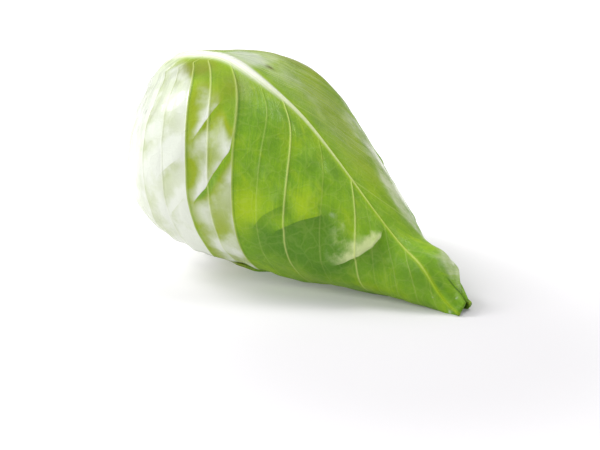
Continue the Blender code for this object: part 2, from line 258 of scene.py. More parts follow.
# Light: colour and strength of the room, and each softbox's name, way to the right of the head,
# way towards the camera, height, size and brightness
ROOM_COLOUR = (0.96, 0.98, 1.0, 1.0)
ROOM_STRENGTH = 0.30
SOFTBOXES = (
    ("softbox_high_left", -1.5, -0.5, 1.6, (0.9, 0.9), 12.0),
    ("softbox_left", -1.15, 0.30, 0.40, (0.6, 1.1), 1.35),
    ("softbox_front", -0.7, 1.3, 1.3, (1.3, 1.1), 2.8),
    ("softbox_above", 0.7, -0.4, 2.0, (1.0, 1.0), 6.5),
)

# Camera: where it aims, from where, and its lens on a 36 mm sensor
AIM = Vector((-0.05667, 0.06171, 0.0))
CAMERA_AZIMUTH = math.radians(41.74)
CAMERA_ELEVATION = math.radians(16.33)
CAMERA_DISTANCE = 1.10
LENS = 114.70


def ease(x):
    """Smooth step from 0 to 1."""
    x = np.clip(x, 0.0, 1.0)
    return x * x * (3.0 - 2.0 * x)


def smooth_curve(x, stations, values):
    """Smooth curve through the values at the stations."""
    stations = np.asarray(stations)
    values = np.asarray(values)
    slopes = np.gradient(values, stations)
    x = np.clip(x, stations[0], stations[-1])
    i = np.clip(np.searchsorted(stations, x, side="right") - 1, 0, len(stations) - 2)
    span = stations[i + 1] - stations[i]
    t = (x - stations[i]) / span
    start = values[i] * (1 + 2 * t) * (1 - t) ** 2 + slopes[i] * span * t * (1 - t) ** 2
    finish = values[i + 1] * t * t * (3 - 2 * t) - slopes[i + 1] * span * t * t * (1 - t)
    return start + finish


def turned(angle):
    """Angle in degrees brought between -180 and 180."""
    return (np.asarray(angle) + 180.0) % 360.0 - 180.0


# Shape of the head

def mean_radius(u):
    return smooth_curve(np.sqrt(u), np.sqrt(STATIONS), RADII)


def head_radius(u, angle):
    oval = OVALITY * (1.0 - np.exp(-u / 0.1))
    radius = mean_radius(u) * (1.0 - oval * np.cos(np.radians(2.0 * (angle - OVAL_TURN))))
    for place, turn, along, around, height in SWELLINGS:
        reach = ((u - place) / along) ** 2 + (turned(angle - turn) / around) ** 2
        radius = radius + height * np.exp(-reach)
    return radius


def head_point(root, angle):
    """Point of the head's outside; root is the square root of the share of its length."""
    u = root * root
    radius = head_radius(u, angle)
    round_head = np.radians(angle)
    return np.stack([u * HEAD_LENGTH, radius * np.sin(round_head), radius * np.cos(round_head)], -1)


def head_normal(root, angle):
    step = 0.002
    low = np.clip(root - step, 0.0, None)
    along = head_point(root + step, angle) - head_point(low, angle)
    around = head_point(root, angle + 1.0) - head_point(root, angle - 1.0)
    normal = np.cross(along, around)
    return normal / np.linalg.norm(normal, axis=-1, keepdims=True)


def laid_down(points, depth):
    """Tilt the head onto its side, and flatten what the surface below it presses in."""
    x = points[..., 0] * math.cos(TILT) + points[..., 2] * math.sin(TILT) - ORIGIN_X
    y = points[..., 1] - ORIGIN_Y
    z = points[..., 2] * math.cos(TILT) - points[..., 0] * math.sin(TILT) + AXIS_HEIGHT
    return np.stack([x, y, np.maximum(z, np.maximum(depth, 0.0))], -1)


def shell_point(u, angle, depth):
    """Point at a depth below the head's outside, or above it where the depth is negative."""
    u, angle, depth = np.broadcast_arrays(u, angle, depth)
    root = np.sqrt(u)
    points = head_point(root, angle) - head_normal(root, angle) * depth[..., None]
    return laid_down(points, depth)


def layer_scale(u):
    """Layers and relief get finer as the head narrows to its tip."""
    return np.clip(mean_radius(u) / FULL_RADIUS, TIP_SCALE, 1.0)


# Shape of a leaf

def midrib_angle(leaf, u):
    return LEAF_TURN * leaf + smooth_curve(u, MIDRIB_STATIONS, MIDRIB_ANGLES)


def half_width(leaf, start, side):
    if leaf > 0:
        return smooth_curve(start, WIDTH_STATIONS, INNER_WIDTHS)
    left = smooth_curve(start, WIDTH_STATIONS, LEFT_WIDTHS)
    right = smooth_curve(start, WIDTH_STATIONS, RIGHT_WIDTHS)
    return np.where(side < 0, left, right)


def sweep(start, away):
    """How far up the head a vein has run, at an angle away from the midrib."""
    slack = FOOT_ANGLE * (1.0 - ease(start / 0.22))
    lean = VEIN_SWEEP * (1.0 - start) * (0.3 + 0.7 * ease(start / 0.2))
    rise = 1.0 - np.exp(-np.maximum(away - slack, 0.0) / VEIN_CURVE)
    apex = APEX_DROP * ease((start - 0.6) / 0.4) * ((away / 140.0) ** 2 - APEX_REACH)
    return lean * rise - apex


def leaf_place(leaf, start, across):
    """Share of the head's length and angle, at a vein's start and a share of the half width."""
    start, across = np.broadcast_arrays(start, across)
    away = np.abs(across) * half_width(leaf, start, across)
    hug = smooth_curve(start, HUG_STATIONS, HUG_RISE) * np.exp(-(away / HUG_ANGLE) ** 2)
    return (start + sweep(start, away) + hug) * LEAF_ENDS[leaf], away * np.sign(across)


def vein_start(share, away):
    """Start of the vein that passes through a place on a leaf, found by halving."""
    low = np.zeros(np.shape(share))
    high = np.ones(np.shape(share))
    for _ in range(20):
        middle = (low + high) / 2.0
        short = middle + sweep(middle, away) < share
        low = np.where(short, middle, low)
        high = np.where(short, high, middle)
    return np.clip(low, FOOT_START, 1.0)


def leaf_cover(leaf, u, angle):
    """1 under a leaf, falling smoothly to 0 a little way past its edges."""
    away = turned(angle - midrib_angle(leaf, u))
    share = u / LEAF_ENDS[leaf]
    start = vein_start(share, np.abs(away))
    beyond_side = np.abs(away) - half_width(leaf, start, away) - COVER_MARGINS[leaf]
    foot = FOOT_START + sweep(FOOT_START, np.abs(away))
    beyond_foot = np.sqrt(foot) - np.sqrt(share) - 0.012
    beyond_tip = share - 1.0 - sweep(1.0, np.abs(away)) - 0.01
    side = 1.0 - ease(beyond_side / COVER_RAMP)
    if leaf > 0:
        side = np.maximum(side, ease((u - TIP_CROWD) / 0.12))
    return side * (1.0 - ease(beyond_foot / 0.08)) * (1.0 - ease(beyond_tip / 0.05))


def layer_depth(layer, u, angle):
    """Depth of a leaf's outside: one step for each leaf that lies over it."""
    covers = [leaf_cover(other, u, angle) for other in range(layer)]
    hidden = np.max(covers, axis=0) if covers else np.zeros(np.shape(u))
    steps = sum(covers) if covers else 0.0
    foot = FOOT_STEP * layer * (1.0 - ease(u / FOOT_REACH))
    return LAYER_STEP * layer_scale(u) * steps + foot, hidden


def ripple(points, length, seed):
    """Smooth uneven waves of about that length, between -1 and 1."""
    draw = np.random.default_rng(seed)
    total = np.zeros(points.shape[:-1])
    for _ in range(7):
        direction = draw.normal(size=3)
        direction /= np.linalg.norm(direction)
        pitch = length * draw.uniform(0.7, 1.5)
        total += np.sin(points @ direction * (2.0 * math.pi / pitch) + draw.uniform(0.0, 6.3))
    return total / 3.2


def uneven(points, form, seed):
    """Uneven waves of a given length and height."""
    length, height = form
    return height * ripple(points, length, seed)


def row_measure(start):
    """Where a row lies along the head, measured halfway out on the leaf."""
    return start + sweep(start, 55.0)


def fine_starts(step):
    """Rows of a leaf's grid: evenly spaced, and closer together on and beside each vein."""
    fine = np.linspace(FOOT_START, 1.0, 2000)
    measure = row_measure(fine)
    marks = list(np.linspace(measure[0], measure[-1], int((measure[-1] - measure[0]) / step)))
    for start in VEIN_STARTS:
        middle = row_measure(start)
        marks = [mark for mark in marks if abs(mark - middle) > VEIN_CLEARANCE]
        marks += [middle + offset for offset in ROWS_BY_VEIN]
    return np.interp(np.sort(marks), measure, fine)


def fine_columns(count):
    """Shares of the half width, closer together near the midrib."""
    side = np.linspace(0.0, 1.0, count + 1)[1:] ** 1.35
    return np.concatenate([-side[::-1], [0.0], side])


def rib_size(start):
    height = RIB_TIP_HEIGHT + (RIB_HEIGHT - RIB_TIP_HEIGHT) * (1.0 - start) ** 1.6
    width = RIB_TIP_HALF_WIDTH + (RIB_HALF_WIDTH - RIB_TIP_HALF_WIDTH) * (1.0 - start) ** 3.6
    return height, width


def side_relief(across):
    """Side veins stand out less on the right of the midrib."""
    return np.where(across < 0, 1.0, RIGHT_RELIEF)


def vein_field(start, across, distance):
    """Masks and height of the side veins: a thin ridge, and a groove past it."""
    measure = row_measure(start) * HEAD_LENGTH
    rib_width = rib_size(start)[1]
    mask = np.zeros(measure.shape)
    groove = np.zeros(measure.shape)
    height = np.zeros(measure.shape)
    reach = 1.0 - 0.72 * np.abs(across)
    leave = ease((distance - 0.6 * rib_width) / (1.5 * rib_width))
    for place, strength, _, step, _, _ in VEINS:
        width = VEIN_HALF_WIDTH * (0.6 + 0.4 * strength) * (0.55 + 0.45 * reach)
        past = (measure - row_measure(place) * HEAD_LENGTH) / width
        ridge = np.exp(-past ** 2)
        trough = np.exp(-((past - 2.0) / 1.0) ** 2) * min(step, 1.0) * reach
        mask = np.maximum(mask, ridge * strength * (0.4 + 0.6 * reach))
        groove = np.maximum(groove, trough)
        height = np.maximum(height, ridge * strength * reach * VEIN_HEIGHT)
    seen = leave * side_relief(across)
    return mask * (0.45 + 0.55 * (across < 0)), groove * seen, (height - 0.22 * VEIN_HEIGHT * groove) * seen


def between_veins(start):
    """Number of the panel between two side veins, its width, and how far across it a place is."""
    measure = row_measure(start) * HEAD_LENGTH
    marks = row_measure(np.concatenate([[FOOT_START], VEIN_STARTS, [1.0]])) * HEAD_LENGTH
    panel = np.clip(np.searchsorted(marks, measure, side="right") - 1, 0, len(VEINS))
    gap = marks[panel + 1] - marks[panel]
    return panel, gap, np.clip((measure - marks[panel]) / gap, 0.0, 1.0)


def panel_values(column, first):
    return np.array([first] + [vein[column] for vein in VEINS])


def panel_form(start, across, distance):
    """The leaf swells between two veins, with slanting puckers, and steps down past each vein."""
    panel, gap, inside = between_veins(start)
    arch = np.sqrt(4.0 * inside * (1.0 - inside) + 0.02)
    swell = panel_values(2, 0.5)[panel] * np.minimum(0.07 * gap, PUFF) * arch
    before, past = panel_values(3, 0.4)[panel], np.roll(panel_values(3, 0.4), -1)[panel]
    drop = np.exp(-inside * gap / STEP_REACH)
    step = VEIN_STEP * (past * inside ** 2 + before * drop * (1.0 - inside))
    fade = ease(distance / 0.016) * (1.0 - 0.5 * ease((np.abs(across) - 0.7) / 0.3))
    waver = PUCKER_WAVER * np.sin(distance / PUCKER_WAVER_LENGTH + panel)
    slant = distance / PUCKER_LENGTH + PUCKER_SLANT * inside + PUCKER_SHIFT * panel + waver
    pucker = np.sin(2.0 * math.pi * slant) * arch
    return (swell + step + PUCKER_HEIGHT * pucker) * fade * side_relief(across), pucker


def blot(u, angle, patch):
    """Soft round patch on the head, 1 in its middle."""
    place, turn, along, around, strength = patch
    return strength * np.exp(-((u - place) / along) ** 2 - (turned(angle - turn) / around) ** 2)


def blots(u, angle, patches):
    return np.clip(sum(blot(u, angle, patch) for patch in patches), 0.0, 1.0)


def line_place(angle, line):
    """Share of the length where a line across the head passes an angle."""
    return np.interp(angle, [point[1] for point in line], [point[0] for point in line])


def crease(u, angle, line, reach, height):
    """A fold: the leaf swells towards the line, then drops past it."""
    past = (u - line_place(angle, line)) * HEAD_LENGTH
    middle = (line[0][1] + line[-1][1]) / 2.0
    span = (line[-1][1] - line[0][1]) / 2.0
    share = np.clip(1.0 - ((angle - middle) / (span * 1.25)) ** 2, 0.0, 1.0)
    before = np.exp(np.minimum(past, 0.0) / reach)
    after = 1.6 * np.exp(-np.maximum(past, 0.0) / 0.0012) - 0.6 * np.exp(-np.maximum(past, 0.0) / reach)
    return height * share * np.where(past < 0, before, after)


def line_mark(u, angle, line):
    """How far past a line a place lies, and 1 between the line's ends."""
    beyond = (u - line_place(angle, line)) * HEAD_LENGTH
    ends = ease((angle - line[0][1] + 4.0) / 8.0) * ease((line[-1][1] + 4.0 - angle) / 8.0)
    return np.stack([beyond, ends, 0.0 * beyond], -1)


def highlight_mark(u, angle):
    """The painted highlight that ends at the second fold and runs up beside a vein, in shares of its reach.
    """
    beyond = u - line_place(angle, SECOND_FOLD)
    reach = np.interp(angle, HIGHLIGHT_ANGLES, HIGHLIGHT_REACH)
    ends = ease((angle + 96.0) / 14.0) * ease((-36.0 - angle) / 6.0)
    return np.stack([beyond / reach, ends * (np.abs(beyond) < 0.12), 0.0 * beyond], -1)


def past_line(u, angle, line, soft):
    """0 before a line across the head, 1 past it."""
    return ease((u - line_place(angle, line)) / soft * 0.5 + 0.5)


def tip_fold(u, angle):
    """How far round a place lies past the fold that runs down to the tip."""
    return turned(angle - np.interp(u, TIP_FOLD_STATIONS, TIP_FOLD_ANGLES))


def tip_fold_mark(u, angle):
    """Distance round the head past the fold at the tip, and 1 along its length."""
    beyond = np.radians(tip_fold(u, angle)) * mean_radius(u)
    return np.stack([beyond, ease((u - TIP_FOLD_STATIONS[0]) / 0.02), 0.0 * beyond], -1)


def tip_fold_step(u, angle):
    """The leaf's edge lies over itself at the tip: a small step down past the fold."""
    past = tip_fold(u, angle)
    reach = ease((u - TIP_FOLD_STATIONS[0] + 0.01) / 0.03)
    return TIP_FOLD_HEIGHT * reach * np.where(past < 0, np.exp(past / 14.0), np.exp(-past / 2.0))


def outer_paleness(start, inside, panel, away):
    """Blanching of the outer leaf: by panel on its left, each panel paler towards its next vein as painted
    light, and only at the foot on its right.
    """
    past, before = panel_values(4, 1.0)[panel], panel_values(5, 1.0)[panel]
    left = past + (before - past) * ease(inside)
    strip = 7.0 + 9.0 * ease((start - 0.12) / 0.02) + 14.0 * ease((start - 0.165) / 0.018)
    near_rib = 1.0 - ease((-away - strip) / 14.0)
    left = left * (1.0 - 0.9 * near_rib * ease((start - 0.06) / 0.05))
    right = 1.0 - ease((start - 0.03) / 0.12)
    share = ease((away + 6.0) / 12.0)
    return left * (1.0 - share) + right * share


def right_streaks(u, away):
    """Where fine pale streaks show, right of the midrib."""
    beside = ease((away - 2.0) / 8.0) * (1.0 - ease((away - 46.0) / 30.0))
    return beside * (1.0 - ease((u - 0.50) / 0.2))


def inner_tones(leaf, start):
    """Masks of an inner leaf: paler from its foot, and further the deeper it lies."""
    reach = PALE_REACH[leaf]
    pale = 1.0 - ease((start - reach * 0.4) / (reach * 0.8))
    return {"pale": pale, "film": 0.3 + 0.5 * pale}


def outer_tones(start, across, u, angle, away, pucker):
    """Masks of colour, painted light and shade, and wax on the outer leaf."""
    panel, _, inside = between_veins(start)
    pale = outer_paleness(start, inside, panel, away)
    # Painted highlight along the crests of the puckers on the pale panels
    strong = 0.25 + 0.75 * ease((start - 0.132) / 0.004)
    crest_highlight = pucker * strong * (start < PALE_END) * (across < 0)
    pale = pale + 0.10 * crest_highlight * ease(pale / 0.5)
    past_fold = past_line(u, angle, SECOND_FOLD, 0.004) * (angle < -38.0) * (u < 0.9)
    glint_and_bloom = blots(u, angle, GLINT_AND_BLOOM_PATCHES) * (1.0 - past_fold)
    return {
        "pale": np.clip(pale, 0.0, 1.0),
        "deep_green_and_shade": blots(u, angle, DEEP_GREEN_AND_SHADE_PATCHES),
        "spot": blots(u, angle, SPOTS),
        "lime": blots(u, angle, LIME_PATCHES),
        "olive": blots(u, angle, OLIVE_AND_RIB_SHADOW_PATCHES),
        "lines": right_streaks(u, away),
        "glint_and_bloom": glint_and_bloom,
        "rim": blots(u, angle, RIM_SHEEN_PATCHES),
        "film": np.clip(0.15 + 0.6 * pale + glint_and_bloom, 0.0, 1.0),
    }


def leaf_relief(leaf, start, across, u, angle, distance, place):
    """Height of a leaf's outside above its smooth form, and the masks that follow that height."""
    rib_height, rib_width = rib_size(start)
    rib = rib_height * (0.6 * np.exp(-(distance / rib_width) ** 2)
                        + 0.4 * np.exp(-(distance / (2.4 * rib_width)) ** 2))
    fibre = FIBRE_HEIGHT * np.cos(FIBRES * distance / rib_width) * np.exp(-(distance / rib_width) ** 2)
    vein_mask, groove, vein = vein_field(start, across, distance)
    swell, pucker = panel_form(start, across, distance)
    waves = uneven(place, BROAD_WAVE, 3 + leaf) + uneven(place, SMALL_WAVE, 30 + leaf)
    edge = np.maximum(ease((np.abs(across) - 0.80) / 0.20), ease((start - 0.90) / 0.10))
    wave = 0.55 + 0.45 * np.sin(2.0 * math.pi * EDGE_WAVES * (u + across * 0.35))
    frill = ease((np.abs(across) - 0.9) / 0.1) * uneven(place, EDGE_FRILL, 50 + leaf)
    relief = rib + fibre + EDGE_LIFT * edge * wave
    relief = relief + (vein + swell + frill + waves * ease(distance / 0.012)) * layer_scale(u)
    if leaf == 0:
        relief = relief + sum(crease(u, angle, *fold) for fold in CREASES) + tip_fold_step(u, angle)
    masks = {
        "vein": vein_mask,
        "groove": groove,
        "rib": np.exp(-(distance / rib_width) ** 4 * 0.7) * (1.0 - ease((start - 0.87) / 0.08)),
        "rib_flank": np.exp(-(distance / (1.6 * rib_width + 0.0003)) ** 2),
    }
    return relief, pucker, edge, masks


def fold_marks(u, angle):
    """Distances past the folds, puckers and painted highlight of the outer leaf."""
    marks = {f"pucker_{i + 1}": line_mark(u, angle, pucker[0]) for i, pucker in enumerate(PUCKERS)}
    marks["first_fold"] = line_mark(u, angle, FIRST_FOLD)
    marks["side_fold"] = line_mark(u, angle, SIDE_FOLD)
    marks["painted_highlight"] = highlight_mark(u, angle)
    marks["tip_fold"] = tip_fold_mark(u, angle)
    return marks


def leaf_form(leaf, starts, columns):
    """Points of a leaf's two sides, and the masks and marks that its finish uses."""
    start, across = np.broadcast_arrays(starts[:, None], columns[None, :])
    u, away = leaf_place(leaf, start, across)
    angle = midrib_angle(leaf, u) + away
    distance = np.radians(np.abs(away)) * mean_radius(u)
    depth, hidden = layer_depth(leaf, u, angle)
    place = shell_point(u, angle, depth)
    relief, pucker, edge, masks = leaf_relief(leaf, start, across, u, angle, distance, place)
    relief = relief * (1.0 - 0.88 * hidden)
    foot = (1.0 - ease(u / FOOT_FLESH_REACH)) * np.exp(-(away / FOOT_ANGLE) ** 2)
    blade = np.maximum(BLADE * layer_scale(u), THINNEST_BLADE) * (1.0 - 0.3 * edge)
    outside = shell_point(u, angle, depth - relief)
    inside = shell_point(u, angle, depth + blade + FOOT_FLESH * foot)
    if leaf == 0:
        masks.update(outer_tones(start, across, u, angle, away, pucker), start=start)
        marks = fold_marks(u, angle)
    else:
        masks.update(inner_tones(leaf, start), start=start)
        marks = {}
    marks["leaf_run"] = np.stack([u * HEAD_LENGTH, distance * np.sign(across), start], -1)
    return outside, inside, masks, marks


def grid_quads(rows, columns, first, flip):
    """Quads over a grid of points whose numbers begin at first."""
    i, j = np.meshgrid(np.arange(rows - 1), np.arange(columns - 1), indexing="ij")
    a = first + i * columns + j
    quads = np.stack([a, a + 1, a + columns + 1, a + columns], -1).reshape(-1, 4)
    return quads[:, ::-1] if flip else quads


def grid_border(rows, columns):
    """Numbers of the points round the edge of a grid, in order."""
    top = list(range(columns))
    right = [i * columns + columns - 1 for i in range(1, rows - 1)]
    bottom = [(rows - 1) * columns + j for j in range(columns - 1, -1, -1)]
    left = [i * columns for i in range(rows - 2, 0, -1)]
    return np.array(top + right + bottom + left)


def new_piece(name, points, faces, material):
    mesh = bpy.data.meshes.new(name)
    mesh.from_pydata(points.tolist(), [], faces)
    mesh.materials.append(material)
    mesh.shade_smooth()
    piece = bpy.data.objects.new(name, mesh)
    bpy.context.scene.collection.objects.link(piece)
    return piece


def paint(piece, name, values):
    """Keep a value for each point of a piece, for its finish to read."""
    layer = piece.data.attributes.new(name, "FLOAT", "POINT")
    layer.data.foreach_set("value", np.asarray(values, np.float32).ravel())


def paint_place(piece, name, values):
    layer = piece.data.attributes.new(name, "FLOAT_VECTOR", "POINT")
    layer.data.foreach_set("vector", np.asarray(values, np.float32).ravel())


def make_leaf(leaf, material):
    coarse = leaf >= COARSE_LEAF
    starts = fine_starts(ROW_STEP * (COARSE_ROWS if coarse else 1.0))
    columns = fine_columns(COARSE_COLUMNS if coarse else LEAF_COLUMNS)
    outside, inside, masks, marks = leaf_form(leaf, starts, columns)
    rows, count = len(starts), len(columns)
    points = np.concatenate([outside.reshape(-1, 3), inside.reshape(-1, 3)])
    edge = grid_border(rows, count)
    ahead = np.roll(edge, -1)
    rim = np.stack([edge, ahead, ahead + rows * count, edge + rows * count], -1)[:, ::-1]
    faces = np.concatenate([
        grid_quads(rows, count, 0, False),
        grid_quads(rows, count, rows * count, True),
        rim,
    ])
    piece = new_piece(f"cabbage_leaf_{leaf + 1}", points, faces.tolist(), material)
    for name, values in masks.items():
        paint(piece, name, np.concatenate([values.ravel(), values.ravel()]))
    for name, values in marks.items():
        paint_place(piece, name, np.tile(values.reshape(-1, 3), (2, 1)))
    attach(piece, "root")
    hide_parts(f"leaf_{leaf + 1}")


# Inner head and stem

def ring_faces(rows, sides, flip):
    """Quads round a stack of rings."""
    i, j = np.meshgrid(np.arange(rows - 1), np.arange(sides), indexing="ij")
    a = i * sides + j
    b = i * sides + (j + 1) % sides
    quads = np.stack([a, b, b + sides, a + sides], -1).reshape(-1, 4).tolist()
    return [quad[::-1] for quad in quads] if flip else quads


def cap_faces(ring, middle, flip):
    faces = [[ring[i - 1], ring[i], middle] for i in range(len(ring))]
    return [face[::-1] for face in faces] if flip else faces


def axis_ring(x, radius, sides):
    """Ring of points round the head's axis."""
    angle = np.arange(sides) * 2.0 * math.pi / sides
    ring = np.stack([np.full(sides, x), radius * np.sin(angle), radius * np.cos(angle)], -1)
    return laid_down(ring, np.zeros(sides))


def stack_piece(name, rings, first_middle, last_middle, material):
    """Closed piece of rings, with a point in the middle of each end."""
    rows, sides = rings.shape[0], rings.shape[1]
    points = np.concatenate([rings.reshape(-1, 3), [first_middle, last_middle]])
    faces = ring_faces(rows, sides, False)
    faces += cap_faces(list(range(sides)), rows * sides, True)
    faces += cap_faces(list(range((rows - 1) * sides, rows * sides)), rows * sides + 1, False)
    return new_piece(name, points, faces, material)


def make_heart(material):
    """Tight inner head with folded ridges, and a socket for the stem's core."""
    rings, sides = HEART_RINGS, HEART_FACETS
    share = np.linspace(0.0, 1.0, rings)[:, None]
    u = FOOT_START + (HEART_END - FOOT_START) * share ** 1.5
    angle = np.arange(sides)[None, :] * 360.0 / sides
    u, angle = np.broadcast_arrays(u, angle)
    depth, _ = layer_depth(LEAF_COUNT, u, angle)
    fold = HEART_FOLD * layer_scale(u) * np.cos(np.radians(angle * 2.0 - 300.0 * u))
    place = shell_point(u, angle, depth)
    fine = uneven(place, HEART_RIPPLE, 9) * ease(u / 0.08)
    outer = shell_point(u, angle, depth + HEART_GAP + HEART_FOLD + fold + np.abs(fine))
    mouth = axis_ring(STEM_DEPTH * 0.72, STEM_CORE_RADIUS + FIT_GAP, sides)
    floor = axis_ring(STEM_DEPTH + FIT_GAP, STEM_CORE_RADIUS + FIT_GAP, sides)
    stack = np.concatenate([[floor, mouth], outer])
    tip = outer[-1].mean(0) + (outer[-1].mean(0) - outer[-2].mean(0)) * 0.25
    piece = stack_piece("cabbage_inner_head", stack, floor.mean(0), tip, material)
    paint(piece, "pale", np.full(len(piece.data.vertices), 0.7))
    paint(piece, "film", np.full(len(piece.data.vertices), 0.4))
    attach(piece, "root")
    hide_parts("inner_head")


def make_stem(material):
    """Stub of the stem with a dried, slightly domed cut face."""
    sides = STEM_FACETS
    profile = (
        (STEM_CUT - 0.00035, 0.0040), (STEM_CUT - 0.0002, 0.0080), (STEM_CUT - 0.0001, 0.0110),
        (STEM_CUT, STEM_RADIUS - 0.0012), (STEM_CUT + 0.0003, STEM_RADIUS - 0.0004),
        (STEM_CUT + 0.0009, STEM_RADIUS), (-0.0035, STEM_RADIUS + 0.0001),
        (-0.0010, STEM_RADIUS - 0.0006), (0.0012, 0.0134), (0.0040, STEM_CORE_RADIUS),
        (STEM_DEPTH - 0.0010, STEM_CORE_RADIUS), (STEM_DEPTH, STEM_CORE_RADIUS - 0.0010),
    )
    turn = np.arange(sides) * 2.0 * math.pi / sides
    rings = []
    for x, radius in profile:
        outside = ease((radius - 0.009) / 0.005) * (x < 0.002)
        wobble = 1.0 + outside * (0.020 * np.sin(5.0 * turn + 0.7) + 0.012 * np.sin(11.0 * turn))
        ring = np.stack([np.full(sides, x), radius * wobble * np.sin(turn),
                         radius * wobble * np.cos(turn)], -1)
        rings.append(laid_down(ring, np.zeros(sides)))
    rings = np.array(rings)
    dome = laid_down(np.array([STEM_CUT - 0.0005, 0.0, 0.0]), 0.0)
    piece = stack_piece("cabbage_stem", rings, dome, rings[-1].mean(0), material)
    radii = np.array([radius for _, radius in profile])
    cut = np.array([x < STEM_CUT + 0.0004 for x, _ in profile]) * 1.0
    paint(piece, "ring", np.concatenate([np.repeat(radii, sides), [0.0, 0.0]]) / STEM_RADIUS)
    paint(piece, "cut_face", np.concatenate([np.repeat(cut, sides), [1.0, 0.0]]))
    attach(piece, "root")
    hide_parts("stem")


# Finishes

class Nodes:
    """Short calls to lay out a tree of shader nodes."""

    def __init__(self, tree):
        self.tree = tree

    def add(self, kind, **settings):
        node = self.tree.nodes.new(kind)
        for name, value in settings.items():
            setattr(node, name, value)
        return node

    def join(self, source, target):
        self.tree.links.new(source, target)

    def feed(self, socket, value):
        """Set a socket to a value, or join it to another socket."""
        if isinstance(value, bpy.types.NodeSocket):
            self.join(value, socket)
        elif isinstance(value, (tuple, list)) and len(value) == 3 and socket.type == "RGBA":
            socket.default_value = (*value, 1.0)
        else:
            socket.default_value = value

    def mask(self, name):
        return self.add("ShaderNodeAttribute", attribute_name=name).outputs["Fac"]

    def math(self, kind, a, b=0.0, clamp=False):
        node = self.add("ShaderNodeMath", operation=kind, use_clamp=clamp)
        self.feed(node.inputs[0], a)
        self.feed(node.inputs[1], b)
        return node.outputs[0]

    def span(self, value, low, high, to_low=0.0, to_high=1.0):
        """Bring a value from one range to another, smoothly and clamped."""
        node = self.add("ShaderNodeMapRange", interpolation_type="SMOOTHSTEP")
        for socket, given in zip(node.inputs, (value, low, high, to_low, to_high)):
            self.feed(socket, given)
        return node.outputs[0]

    def blend(self, share, first, second):
        node = self.add("ShaderNodeMix", data_type="RGBA")
        self.feed(node.inputs["Factor"], share)
        self.feed(node.inputs[6], first)
        self.feed(node.inputs[7], second)
        return node.outputs[2]

    def stretched(self, place, scale):
        node = self.add("ShaderNodeVectorMath", operation="MULTIPLY")
        self.feed(node.inputs[0], place)
        node.inputs[1].default_value = scale
        return node.outputs[0]

    def noise(self, place, scale, detail=3.0, roughness=0.5):
        node = self.add("ShaderNodeTexNoise")
        self.feed(node.inputs["Vector"], place)
        node.inputs["Scale"].default_value = scale
        node.inputs["Detail"].default_value = detail
        node.inputs["Roughness"].default_value = roughness
        return node.outputs["Fac"]

    def line_sides(self, group, name, reach):
        """Masks on the two sides of a line marked on the mesh."""
        node = self.add("ShaderNodeGroup", node_tree=group)
        mark = self.add("ShaderNodeAttribute", attribute_name=name)
        self.join(mark.outputs["Vector"], node.inputs["Mark"])
        self.feed(node.inputs["Reach"], reach)
        return node.outputs

    def mark(self, name):
        """Distance past a line marked on the mesh, and the mask between its ends."""
        mark = self.add("ShaderNodeAttribute", attribute_name=name)
        parts = self.add("ShaderNodeSeparateXYZ")
        self.join(mark.outputs["Vector"], parts.inputs[0])
        return parts.outputs["X"], parts.outputs["Y"]

    def bump(self, height, strength, distance, shader):
        """Give a shader the normal of a height."""
        node = self.add("ShaderNodeBump")
        node.inputs["Strength"].default_value = strength
        node.inputs["Distance"].default_value = distance
        self.join(height, node.inputs["Height"])
        self.join(node.outputs["Normal"], shader.inputs["Normal"])

    def web(self, place, scale):
        node = self.add("ShaderNodeTexVoronoi", feature="DISTANCE_TO_EDGE")
        self.feed(node.inputs["Vector"], place)
        node.inputs["Scale"].default_value = scale
        return node.outputs["Distance"]


def new_group(name, inputs, outputs):
    """Node group with named sockets; returns its node calls, its inputs and its output node."""
    tree = bpy.data.node_groups.new(name, "ShaderNodeTree")
    for label, kind, value in inputs:
        socket = tree.interface.new_socket(label, in_out="INPUT", socket_type=kind)
        socket.default_value = (*value, 1.0) if kind == "NodeSocketColor" else value
    for label, kind in outputs:
        tree.interface.new_socket(label, in_out="OUTPUT", socket_type=kind)
    nodes = Nodes(tree)
    return nodes, nodes.add("NodeGroupInput").outputs, nodes.add("NodeGroupOutput").inputs


def leaf_network_group():
    """Fine net of veins: a mask and a height."""
    nodes, given, out = new_group(
        "fine_vein_net",
        [("Strength", "NodeSocketFloat", 1.0)],
        [("Net", "NodeSocketFloat"), ("Height", "NodeSocketFloat")],
    )
    place = nodes.add("ShaderNodeTexCoord").outputs["Object"]
    drift = nodes.add("ShaderNodeTexNoise")
    nodes.join(place, drift.inputs["Vector"])
    drift.inputs["Scale"].default_value = 160.0
    shift = nodes.add("ShaderNodeVectorMath", operation="MULTIPLY_ADD")
    nodes.join(drift.outputs["Color"], shift.inputs[0])
    shift.inputs[1].default_value = NET_WANDER
    nodes.join(place, shift.inputs[2])
    wide = nodes.span(nodes.web(shift.outputs[0], NET_SCALES[0]), 0.0, 0.10, 1.0, 0.0)
    fine = nodes.span(nodes.web(shift.outputs[0], NET_SCALES[1]), 0.0, 0.12, 1.0, 0.0)
    net = nodes.math("MAXIMUM", wide, nodes.math("MULTIPLY", fine, 0.45))
    nodes.join(nodes.math("MULTIPLY", net, given["Strength"]), out["Net"])
    pores = nodes.noise(place, 1400.0, 2.0)
    height = nodes.math("ADD", net, nodes.math("MULTIPLY", pores, 0.25))
    nodes.join(height, out["Height"])
    return nodes.tree


